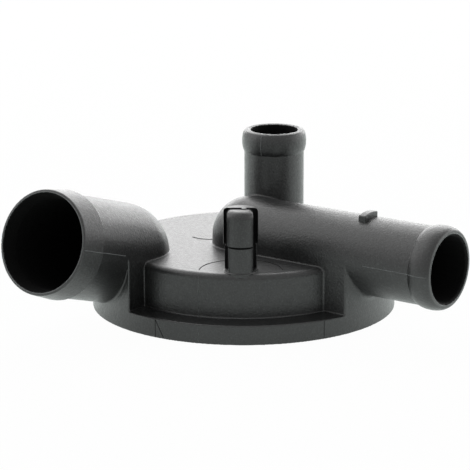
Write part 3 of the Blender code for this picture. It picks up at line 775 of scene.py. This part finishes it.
@dataclass(frozen=True)
class FixingPin:
    """The fixing pin: a round body with a neck, and a domed front tongue between slots."""

    centre: tuple[float, float] = (-0.767, -29.29)
    bottom: float = 15.6
    foot: float = 0.3
    foot_top: float = 16.87
    radius: float = 4.14
    head_step: float = 0.27
    neck_low: float = 22.98
    neck_high: float = 23.4
    neck_edges: tuple[float, float] = (0.12, 0.1)
    neck_depth: float = 0.36
    neck_radius: float = 4.1
    top: float = 32.6
    top_round: float = 0.8
    tongue_top: float = 32.4
    tongue_half: float = 3.1
    tongue_shift: float = 0.18
    tongue_dome: float = 1.9
    tongue_corner: float = 0.12
    tongue_shoulder: float = 1.2
    slot_floor: float = 16.95
    slot_middle: float = 0.25
    slot_half: float = 0.55
    slot_reach: float = 4.27
    slot_flare: float = 0.9
    flare_heights: tuple[float, float] = (16.9, 17.5)
    bridge_middle: float = 0.85
    bridge_half: float = 0.6
    bridge_bottom: float = 30.9
    # how far inside the slots the painted shade starts
    dark_depths: tuple[float, float] = (0.1, 0.08)
    dark_margin: float = 0.05
    room: float = 6.0
    room_heights: tuple[float, float] = (15.2, 33.2)
    grid_step: float = 0.13

    def parts(self, u: Array, v: Array, z: Array) -> tuple[Array, Array, Array]:
        """Work out the fields of the body, of the tongue and of the slot round it.

        Args:
            u: Distances to the right of the pin's axis.
            v: Distances behind it.
            z: Heights.

        Returns:
            The three fields.
        """
        rho = np.sqrt(u**2 + v**2)
        head = smooth_step(self.neck_high, self.neck_high + self.neck_edges[0], z)
        groove = self.neck_depth * smooth_step(self.neck_low, self.neck_low + self.neck_edges[0], z)
        groove = groove * (1.0 - smooth_step(self.neck_high, self.neck_high + self.neck_edges[1], z))
        drop = np.clip((self.foot_top - z) / self.foot, 0.0, 1.0)
        foot = self.foot * (1.0 - np.sqrt(1.0 - drop**2))
        side = rho - self.radius - self.head_step * head + groove - foot
        body = rounded_common(side, z - self.top, self.top_round)
        flank = np.abs(u + self.tongue_shift * head) - self.tongue_half - self.tongue_shift * head
        tongue = rounded_common(side, z - self.tongue_top, self.tongue_dome)
        tongue = rounded_common(tongue, flank, self.tongue_corner)
        tongue = np.maximum(tongue, rounded_common(flank, z - self.tongue_top, self.tongue_shoulder))
        reach = self.slot_reach + self.slot_flare * (1.0 - smooth_step(*self.flare_heights, z))
        beside = np.maximum(np.abs(u) - reach, v - self.slot_middle - self.slot_half)
        bridge = np.maximum(self.bridge_half - np.abs(u - self.bridge_middle), self.bridge_bottom - z)
        behind = np.maximum(np.abs(v - self.slot_middle) - self.slot_half, np.abs(u) - reach)
        slot = np.maximum(beside, np.maximum(-tongue, -flank))
        slot = np.minimum(slot, np.maximum(behind, bridge))
        return body, tongue, np.maximum(slot, self.slot_floor - z)

    def distance(self, x: Array, y: Array, z: Array) -> Array:
        """Return the field of the pin, whose front gives way to the tongue and its slot."""
        u, v = x - self.centre[0], y - self.centre[1]
        body, tongue, slot = self.parts(u, v, z)
        front = np.maximum(v - self.slot_middle + self.slot_half, np.abs(u) - self.slot_reach)
        front = np.maximum(front, self.slot_floor - z)
        whole = np.minimum(np.maximum(body, -front), np.maximum(tongue, v))
        return np.maximum(np.maximum(whole, -slot), self.bottom - z)

    def build(self, finish: Material, bore: Material) -> None:
        """Build the pin, with painted shade on the sides of its slots and in its neck's groove, where
        shade falls.
        """
        (x, y), (low, high), room = self.centre, self.room_heights, self.room
        item = solid_of("fixing_pin", self.distance, (x - room, y - room, low),
                        (x + room, y + room, high), self.grid_step)
        centre = face_centres(item.data)
        u, v, z = centre[:, 0] - x, centre[:, 1] - y, centre[:, 2]
        body, tongue, _ = self.parts(u, v, z)
        # painted shade in the neck's groove under the head
        neck = (z > self.neck_low) & (z < self.neck_high + self.neck_edges[1])
        neck &= np.sqrt(u**2 + v**2) < self.neck_radius
        # painted shade on the sides of the slots beside the tongue
        slot_shade = (body < -self.dark_depths[0]) & (tongue > self.dark_depths[1])
        slot_shade &= v < self.slot_middle + self.slot_half + self.dark_margin
        slot_shade &= z > self.slot_floor + self.dark_margin
        dress_two(item, finish, bore, slot_shade | neck)
        hand_over(item, Body.HOUSING, Slot.HOUSING)


@dataclass(frozen=True)
class KeyRib:
    """The short arched rib over the outlet: a thick ring, cut off by two upright planes."""

    pipe: HosePipe
    from_mouth: float = 23.8
    thick_half: float = 1.1
    wide_half: float = 2.9
    offset: float = 0.7
    height: float = 1.4
    sunk: float = 0.8
    top_round: float = 0.3
    end_round: float = 0.25
    room: tuple[tuple, tuple] = ((26, -28, 26), (38, -18, 32))
    grid_step: float = 0.13

    def distance(self, x: Array, y: Array, z: Array) -> Array:
        """Return the field of the rib."""
        side, up, along = self.pipe.place.local(x, y, z)
        thick = np.abs(along - self.pipe.length + self.from_mouth) - self.thick_half
        top = np.sqrt(side**2 + up**2) - self.pipe.radius - self.height
        ends = np.abs(side + self.offset) - self.wide_half
        bar = rounded_common(rounded_common(thick, top, self.top_round), ends, self.end_round)
        return np.maximum(bar, self.pipe.radius - self.sunk - up)

    def build(self, finish: Material) -> None:
        """Build the rib."""
        item = solid_of("key_rib", self.distance, *self.room, self.grid_step)
        dress(item, finish)
        hand_over(item, Body.HOUSING, Slot.HOUSING)


@dataclass
class Housing:
    """The one-piece moulding: drum, skirt, three pipes and seat tube."""

    skirt_radius: float = 40.0
    skirt_top: float = 5.1
    skirt_edge: float = 0.35
    drum_radius: float = 33.8
    drum_top: float = 16.5
    drum_edge: float = 1.5
    drum_fillet: float = 0.35
    chamber_radius: float = 31.6
    chamber_edge: float = 0.2
    ceiling: float = 14.5
    ceiling_fillet: float = 1.0
    pocket_radius: float = 37.6
    ledge: float = 3.4
    seat_height: float = 8.0
    seat_bore: float = 6.4
    seat_bore_top: float = 19.34
    seat_wall: float = 1.8
    seat_round: float = 0.5
    seat_fillet: float = 0.3
    seat_overlap: float = 1.0
    pad_radius: float = 4.4
    pad_height: float = 23.84
    guide_foot: float = 22.34
    guide_radius: float = 2.7
    bore_round: float = 0.28
    base_round: float = 0.25
    # the painted shade covers faces this near the bores and the drum's inside, above this height
    dark_reach: float = 0.12
    dark_low: float = 3.0
    room_low: tuple[float, float, float] = (-62.0, -49.0, -1.5)
    room_high: tuple[float, float, float] = (57.5, 41.5, 46.5)
    grid_step: float = 0.36
    most_faces: int = 180_000
    inlet: InletPipe = field(default_factory=lambda: InletPipe(
        Placement(-35.3, 17.0, (-32.612, -9.372, 15.8)), 31.9, 13.3, 11.6, 0.5, 0.25))
    outlet: BeadedPipe = field(default_factory=lambda: BeadedPipe(
        Placement(54.2, 0.0, (1.865, -1.345, 18.84)), 60.8, 10.1, 8.5, 2.2))
    port: BeadedPipe = field(default_factory=lambda: BeadedPipe(
        Placement(0.0, 90.0, (8.061, 8.612, 15.5)), 29.4, 7.9, 6.2, 0.6, face=7.5, height=0.6, bead=5.7,
        chamfer=0.7))

    def drum(self, radius: Array, z: Array) -> Array:
        """Return the field of the drum and its flange, before the flange is trimmed."""
        drum = rounded_common(radius - self.drum_radius, z - self.drum_top, self.drum_edge)
        return fillet_union(drum, z - self.skirt_top, self.drum_fillet)

    def chamber(self, radius: Array, z: Array) -> Array:
        """Return the field of the drum's inside and of the pocket below its ledge."""
        room = rounded_common(radius - self.chamber_radius, z - self.ceiling, self.ceiling_fillet)
        pocket = np.maximum(radius - self.pocket_radius, z - self.ledge)
        return np.minimum(room, pocket)

    def port_parts(self, x: Array, y: Array, z: Array) -> tuple[Array, Array]:
        """Return the fields of the upright port's solid and of its bore."""
        side, up, along = (a - b for a, b in zip((x, y, z), self.port.place.origin))
        flat = np.sqrt(side**2 + up**2)
        high = np.maximum(along, 0.1)
        solid = np.maximum(self.port.outer(side, up, high + 0.0 * flat), -along)
        hollow = np.maximum(flat - self.port.bore, self.drum_top - z)
        return solid, hollow

    def distance(self, x: Array, y: Array, z: Array) -> Array:
        """Work out the field of the whole moulding.

        The steps follow the shape of the real one: drum on its flange, walls under the
        side pipes, one turned outer face, pipes, inside, seat tube, port, then the bores.

        Args:
            x: Distances to the right.
            y: Distances to the back.
            z: Heights.

        Returns:
            The field at these places.
        """
        radius = np.sqrt(x**2 + y**2)
        inlet, outlet = (pipe.place.local(x, y, z) for pipe in (self.inlet, self.outlet))
        solid = self.drum(radius, z)
        solid = fillet_union(solid, self.inlet.arch(*inlet), self.inlet.wall_fillet)
        solid = fillet_union(solid, self.outlet.arch(*outlet), self.outlet.wall_fillet)
        solid = rounded_common(solid, radius - self.skirt_radius, self.skirt_edge)
        solid = fillet_union(solid, self.inlet.outer(*inlet), self.inlet.under_fillet(inlet[1]))
        solid = rounded_common(solid, -self.chamber(radius, z), self.chamber_edge)
        solid = fillet_union(solid, self.outlet.outer(*outlet), self.outlet.under_fillet(outlet[1]))
        seat = radius - self.seat_bore - self.seat_wall
        seat = rounded_common(seat, self.seat_height - z, self.seat_round)
        seat = np.maximum(seat, z - self.ceiling - self.seat_overlap)
        solid = fillet_union(solid, seat, self.seat_fillet)
        port, port_bore = self.port_parts(x, y, z)
        solid = fillet_union(solid, port, self.port.fillet)
        pad = np.maximum(radius - self.pad_radius, self.pad_height - z)
        pad = np.minimum(pad, np.maximum(radius - self.guide_radius, self.guide_foot - z))
        hollow = np.maximum(self.outlet.hollow(*outlet), -pad)
        hollow = np.minimum(hollow, np.maximum(radius - self.seat_bore, z - self.seat_bore_top))
        hollow = np.minimum(hollow, np.maximum(self.inlet.hollow(*inlet), self.skirt_top - z))
        hollow = np.minimum(hollow, port_bore)
        solid = rounded_common(solid, -hollow, self.bore_round)
        return rounded_common(solid, -z, self.base_round)

    def painted_shade_faces(self, centres: Array) -> Array:
        """Return which faces lie on the bores or inside the drum, where the shade is painted."""
        x, y, z = centres.T
        hollow = np.minimum(self.port_parts(x, y, z)[1], self.chamber(np.sqrt(x**2 + y**2), z))
        for pipe in (self.outlet, self.inlet):
            hollow = np.minimum(hollow, pipe.hollow(*pipe.place.local(x, y, z)))
        return (hollow < self.dark_reach) & (z > self.dark_low)

    def skin(self) -> Object:
        """Mesh the moulding, thin the mesh where it is flat, and set its exact normals."""
        low, high = np.array(self.room_low), np.array(self.room_high)
        vertices, quads = surface_of(self.distance, low, high, self.grid_step)
        raw = mesh_object("housing_raw", settle(self.distance, vertices), quads)
        thin = raw.modifiers.new("thin", "DECIMATE")
        thin.ratio = min(1.0, self.most_faces / (2 * len(quads)))
        bpy.context.view_layer.update()
        deps = bpy.context.evaluated_depsgraph_get()
        mesh = bpy.data.meshes.new_from_object(raw.evaluated_get(deps))
        bpy.data.objects.remove(raw, do_unlink=True)
        points = np.empty(len(mesh.vertices) * 3, np.float32)
        mesh.vertices.foreach_get("co", points)
        points = settle(self.distance, points.reshape(-1, 3).astype(float) / MM, 2, 0.1)
        mesh.vertices.foreach_set("co", (points * MM).astype(np.float32).ravel())
        mesh.update()
        mesh.polygons.foreach_set("use_smooth", np.full(len(mesh.polygons), True))
        field_normals(mesh, self.distance, points)
        mesh.name = "housing_skin"
        return place_object("housing_skin", mesh)

    def build(self, finish: Material, bore: Material) -> None:
        """Build the moulding, with painted shade on its bores and its inside."""
        skin = self.skin()
        dress_two(skin, finish, bore, self.painted_shade_faces(face_centres(skin.data)))
        hand_over(skin, Body.HOUSING, Slot.HOUSING, "housing")
        FixingPin().build(finish, bore)
        KeyRib(self.outlet).build(finish)


@dataclass
class MouldLines:
    """The raised parting lines, thin edges and shut lines on the moulding, in painted highlight and
    painted shade.
    """

    housing: Housing
    pin_centre: tuple[float, float] = FixingPin.centre

    def line(self, name: str, path: Array, width: float = 0.22, height: float = 0.07) -> Object:
        """Lay a thin raised line on the surface.

        Args:
            name: Name of the object.
            path: Rows of points near the surface, which are settled on its own field.
            width: Width of the line's half-round outline.
            height: Height of that outline.

        Returns:
            The new object.
        """
        path = settle(self.housing.distance, path, 6, 1.0)
        up = unit_rows(slope_of(self.housing.distance, path)[1])
        across = unit_rows(np.cross(np.gradient(path, axis=0), up))
        return swept(name, path, across, up, half_round(width, height))

    def pipe_line(self, name: str, pipe: HosePipe, start: float, side: float) -> Object:
        """Lay the parting line along a side pipe at mid-height, from a place to its mouth."""
        along = np.linspace(start, pipe.length - 0.3, 60)
        local = np.stack((side * pipe.outer_radius(along), 0.0 * along, along), axis=1)
        return self.line(name, pipe.place.world(local))

    def mouth_highlight(self, name: str, pipe: HosePipe, radius: float) -> Object:
        """Lay a thin half-round bead round a pipe's bore on its face, whose light colour is a painted
        highlight on the mouth's edge.
        """
        turn = np.linspace(0.0, 2 * pi, 121)
        out = np.stack((np.cos(turn), np.sin(turn), 0.0 * turn), axis=1)
        origin = np.array(pipe.place.origin)
        path = pipe.place.world(radius * out + np.array((0.0, 0.0, pipe.length)))
        across = pipe.place.world(out) - origin
        ahead = pipe.place.world(np.array(((0.0, 0.0, 1.0),))) - origin
        return swept(name, path, across, np.repeat(ahead, len(path), axis=0), half_round(0.22, 0.05))

    def upright_line(self, name: str, foot: Array, low: float, high: float, width: float = 0.16,
                     height: float = 0.045) -> Object:
        """Lay a line straight up above a point of the base, from one height to another."""
        rise = np.linspace(low, high, 14)
        path = foot + rise[:, None] * np.array((0.0, 0.0, 1.0))
        return self.line(name, path, width, height)

    def top_arc(self, name: str, centre: tuple[float, float], radius: float, start: float,
                end: float) -> Object:
        """Lay an arc of a round insert's mark on the drum's top, between two azimuths."""
        path = ring_path(centre, radius, self.housing.drum_top, start, end, 50)
        return self.line(name, path, 0.26, 0.1)

    def bright(self) -> list[Object]:
        """Lay the raised parting lines and thin edges: real raised lines whose light colour is a painted
        highlight for the light they catch.
        """
        inlet, outlet, port = self.housing.inlet, self.housing.outlet, self.housing.port
        skirt, drum = self.housing.skirt_radius, self.housing.drum_radius
        corner = np.array((-29.2, -27.5, 0.0))
        port_side = np.array((*port.place.origin[:2], 0.0)) + level_direction(-25.0) * (port.radius + 0.5)
        foot = ring_path((0.0, 0.0), 33.95, self.housing.skirt_top + 0.15, -33.0, 37.0, 60)
        return [
            self.mouth_highlight("inlet_mouth_ring", inlet, inlet.mouth_bore + 0.2),
            self.mouth_highlight("outlet_mouth_ring", outlet, outlet.bore + outlet.chamfer + 0.15),
            self.mouth_highlight("port_mouth_ring", port, port.bore + port.chamfer + 0.15),
            self.upright_line("inlet_corner_line", corner, 5.4, 18.8, 0.2, 0.05),
            self.pipe_line("outlet_line_front", outlet, 41.5, -1.0),
            self.pipe_line("outlet_line_back", outlet, 41.5, 1.0),
            self.pipe_line("inlet_line_front", inlet, 14.5, 1.0),
            self.pipe_line("inlet_line_back", inlet, 14.5, -1.0),
            self.upright_line("skirt_line_middle", level_direction(-16.5) * skirt, 0.4, 4.8),
            self.upright_line("drum_line", level_direction(-19.8) * drum, 5.6, 15.6),
            self.line("foot_line", foot, 0.24, 0.07),
            self.upright_line("port_line", port_side, 39.2, 44.6, 0.2, 0.06),
        ]

    def dark(self) -> list[Object]:
        """Lay the shut lines of the mould's inserts as raised lines in painted shade, which stands in for
        the shade in their grooves.
        """
        skirt = self.housing.skirt_radius
        fall = np.linspace(4.8, 0.4, 16)
        crease = ring_path((0.0, 0.0), skirt, fall, -33.9, -30.4, 16)
        return [
            self.upright_line("skirt_line_left", level_direction(-33.9) * skirt, 0.4, 4.8),
            self.line("skirt_crease", crease, 0.2, 0.05),
            self.upright_line("skirt_line_right", level_direction(30.4) * skirt, 0.4, 4.8),
            self.top_arc("pin_ring", self.pin_centre, 10.5, 94.0, 266.0),
            self.top_arc("insert_ring", (-8.6, 8.2), 6.3, -52.0, 4.0),
        ]

    def build(self, painted_highlight: Material, bore: Material) -> None:
        """Build the lines, the bright ones in painted highlight and the dark ones in painted shade."""
        for items, finish in ((self.bright(), painted_highlight), (self.dark(), bore)):
            for item in items:
                dress(item, finish)
                hand_over(item, Body.HOUSING, Slot.HOUSING)


@dataclass
class Diaphragm:
    """The rubber diaphragm: web, one rolling convolution and the clamped bead."""

    hole: float = 1.8
    web_bottom: float = 3.2
    web_top: float = 3.9
    roll_start: float = 20.7
    roll_end: float = 31.0
    roll_height: float = 2.2
    bead_inner: float = 32.8
    bead_outer: float = 37.0
    bead_bottom: float = 1.5
    bead_top: float = 3.1

    def profile(self) -> Array:
        """Return the closed profile.

        Formula of the roll's middle line: a straight fall from the web to the bead plus
        the roll's height times half a sine wave; the rubber is 0.35 mm on each side of it.
        """
        share = np.linspace(0.0, 1.0, 33)
        radius = self.roll_start + (self.roll_end - self.roll_start) * share
        web, bead = (self.web_bottom + self.web_top) / 2, (self.bead_bottom + self.bead_top) / 2
        middle = web + (bead - web) * share + self.roll_height * np.sin(pi * share)
        half = (self.web_top - self.web_bottom) / 2
        upper = np.stack((radius, middle + half), axis=1)
        lower = np.stack((radius, middle - half), axis=1)[::-1]
        edge = np.array((
            (self.bead_inner, upper[-1, 1]), (self.bead_inner, self.bead_top),
            (self.bead_outer, self.bead_top), (self.bead_outer, self.bead_bottom),
            (self.bead_inner, self.bead_bottom), (self.bead_inner, lower[0, 1]),
        ))
        return np.concatenate((((self.hole, self.web_top),), upper, edge, lower,
                               ((self.hole, self.web_bottom),)))

    def build(self, finish: Material) -> None:
        """Build the rubber."""
        item = turned("diaphragm_rubber", self.profile(), 144)
        dress(item, finish)
        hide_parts("diaphragm")
        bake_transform(item)
        LOG.info("%s: %d faces, between both bodies", item.name, len(item.data.polygons))


@dataclass
class ReturnSpring:
    """The return spring: a round wire on a helix with closed end turns."""

    radius: float = 3.6
    wire: float = 0.4
    low: float = 6.1
    high: float = 23.14
    closed_pitch: float = 1.1
    open_turns: float = 6.0
    stroke: float = 2.4

    def path(self) -> Array:
        """Return the wire's middle line.

        Formula: a circle of the spring's radius whose height rises by the closed pitch in
        the end turns and evenly in between.
        """
        turns = self.open_turns + 2.0
        turn = np.linspace(0.0, turns, int(turns * 36) + 1)
        opened = np.clip(turn - 1.0, 0.0, self.open_turns)
        pitch = (self.high - self.low - 2.0 * self.closed_pitch) / self.open_turns
        height = self.low + (turn - opened) * self.closed_pitch + opened * pitch
        angle = 2.0 * pi * turn
        return np.stack((self.radius * np.cos(angle), self.radius * np.sin(angle), height), axis=1)

    def build(self, finish: Material) -> None:
        """Build the wire."""
        path = self.path()
        outward = path * np.array((1.0, 1.0, 0.0)) / self.radius
        ahead = np.gradient(path, axis=0)
        up = unit_rows(np.cross(outward, ahead))
        angle = np.linspace(0.0, 2.0 * pi, 14, endpoint=False)
        circle = self.wire * np.stack((np.cos(angle), np.sin(angle)), axis=1)
        item = swept("return_spring_wire", path, outward, up, circle)
        item.data.shade_smooth()
        dress(item, finish)
        hand_over(item, Body.HOUSING, Slot.SPRING, "return_spring")
        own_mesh(item)


@dataclass(frozen=True)
class Softbox:
    """A soft area light that faces the valve; lengths in metres, power in watts."""

    name: str
    place: tuple[float, float, float]
    size: tuple[float, float]
    power: float

    def build(self) -> None:
        """Hang the light."""
        data = bpy.data.lights.new(self.name, "AREA")
        data.shape = "RECTANGLE"
        data.size, data.size_y = self.size
        data.energy = self.power
        item = place_object(self.name, data)
        aim = Vector(self.place).to_track_quat("Z", "Y")
        item.matrix_world = Matrix.Translation(self.place) @ aim.to_matrix().to_4x4()
        item.visible_camera = False


@dataclass
class Studio:
    """The camera, the pale floor, the soft lights and the white backdrop."""

    camera_place: tuple[float, float, float] = (0.0, -0.60005, 0.17336)
    pitch: float = 14.5
    yaw: float = 0.22
    roll: float = -0.07
    lens: float = 179.8
    floor_size: float = 12.0
    floor_glow: float = 0.98
    sheet_tint: tuple[float, float, float] = (0.94, 1.0, 0.975)
    sheet_fade: tuple[float, float] = (-0.145, -0.115)
    ambient: float = 0.04
    boxes: tuple[Softbox, ...] = (
        Softbox("back_low", (0.0, 1.3, 0.36), (2.2, 0.5), 12.5),
        Softbox("back_high", (0.0, 0.95, 0.95), (1.4, 0.7), 8.0),
        Softbox("left", (-1.25, 0.1, 0.38), (0.9, 0.6), 2.5),
        Softbox("right", (1.25, 0.1, 0.38), (0.9, 0.6), 2.6),
        Softbox("over_left", (-0.75, 0.15, 0.95), (1.0, 1.0), 3.8),
        Softbox("right_back", (0.95, 0.9, 0.38), (0.8, 0.6), 3.5),
    )

    def camera(self) -> None:
        """Make the camera at the photograph's angle."""
        data = bpy.data.cameras.new("camera")
        data.lens, data.sensor_width = self.lens, 36.0
        data.clip_start, data.clip_end = 0.01, 20.0
        item = place_object("camera", data)
        turn = Matrix.Rotation(radians(self.yaw), 4, "Z")
        turn @= Matrix.Rotation(radians(90.0 - self.pitch), 4, "X")
        turn @= Matrix.Rotation(radians(self.roll), 4, "Z")
        item.matrix_world = Matrix.Translation(self.camera_place) @ turn
        bpy.context.scene.camera = item

    def world(self) -> None:
        """Make the room: a white backdrop where it is seen or mirrored, and a faint light from it."""
        world = bpy.data.worlds.new("studio")
        bpy.context.scene.world = world
        board = NodeBoard(world)
        seen = board.is_ray("Is Camera Ray", "Is Glossy Ray", "Is Transmission Ray")
        strength = board.choose(seen, self.ambient, 1.0)
        board.fill(board.tree.nodes["Background"], {"Color": (1.0, 1.0, 1.0, 1.0), "Strength": strength})

    def floor(self) -> None:
        """Make the floor: a white surface that still takes the valve's soft shadow.

        The surface is seen through a share of white glow; gloss sees the lit surface and
        the glow together, and the glow fades out in front of the valve, where the pale
        sheet ends.
        """
        half = self.floor_size / 2 / MM
        corners = np.array(((-half, -half, 0), (half, -half, 0), (half, half, 0), (-half, half, 0)))
        item = mesh_object("floor", corners - np.array((0, 0, 0.05)), [[0, 1, 2, 3]], smooth=False)
        board = NodeBoard(bpy.data.materials.new("floor_white"))
        matt = {"Base Color": (*self.sheet_tint, 1.0), "Roughness": 0.9, "Specular IOR Level": 0.0}
        board.fill(board.shader, matt)
        seen = board.choose(board.is_ray("Is Camera Ray"), 0.0, self.floor_glow)
        gloss = board.is_ray("Is Glossy Ray", "Is Transmission Ray")
        place = board.add("SeparateXYZ", {"Vector": board.object_place})
        fade = board.spread(place.outputs["Y"], 0.0, 1.0, *self.sheet_fade)
        black = board.add("Emission", {"Strength": 0.0}).outputs["Emission"]
        glow = board.add("Emission", {
            "Color": board.mix(gloss, (1.0, 1.0, 1.0), self.sheet_tint),
            "Strength": board.choose(gloss, seen, fade),
        }).outputs["Emission"]
        dim = board.add("MixShader", {"Fac": seen, 1: board.shader.outputs["BSDF"], 2: black})
        total = board.add("AddShader", {0: dim.outputs["Shader"], 1: glow})
        board.fill(board.tree.nodes["Material Output"], {"Surface": total.outputs["Shader"]})
        dress(item, board.owner)

    def build(self) -> None:
        """Set up the camera, the floor and the lights."""
        self.camera()
        self.world()
        self.floor()
        for box in self.boxes:
            box.build()
        bpy.context.scene.view_settings.view_transform = "Standard"


def main() -> None:
    """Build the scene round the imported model."""
    logging.basicConfig(level=logging.INFO, format="%(name)s %(message)s")
    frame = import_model()
    finishes = Finishes()
    Studio().build()
    # bore is the painted shade material
    housing, bore = Housing(), finishes.bore.make()
    housing.build(finishes.nylon.make(), bore)
    MouldLines(housing).build(finishes.painted_highlight.make(), bore)
    Diaphragm().build(finishes.rubber.make())
    ReturnSpring().build(finishes.wire.make())
    kept = {
        "bottom_cover": finishes.cover,
        "valve_plate": finishes.plate,
        "support_plate": finishes.support,
        "centre_rivet": finishes.zinc,
    }
    for name, finish in kept.items():
        dress(frame["nodes"][name], finish.make())
        LOG.info("%s: kept from the model, in %s", name, finish.name)


if __name__ == "__main__":
    main()
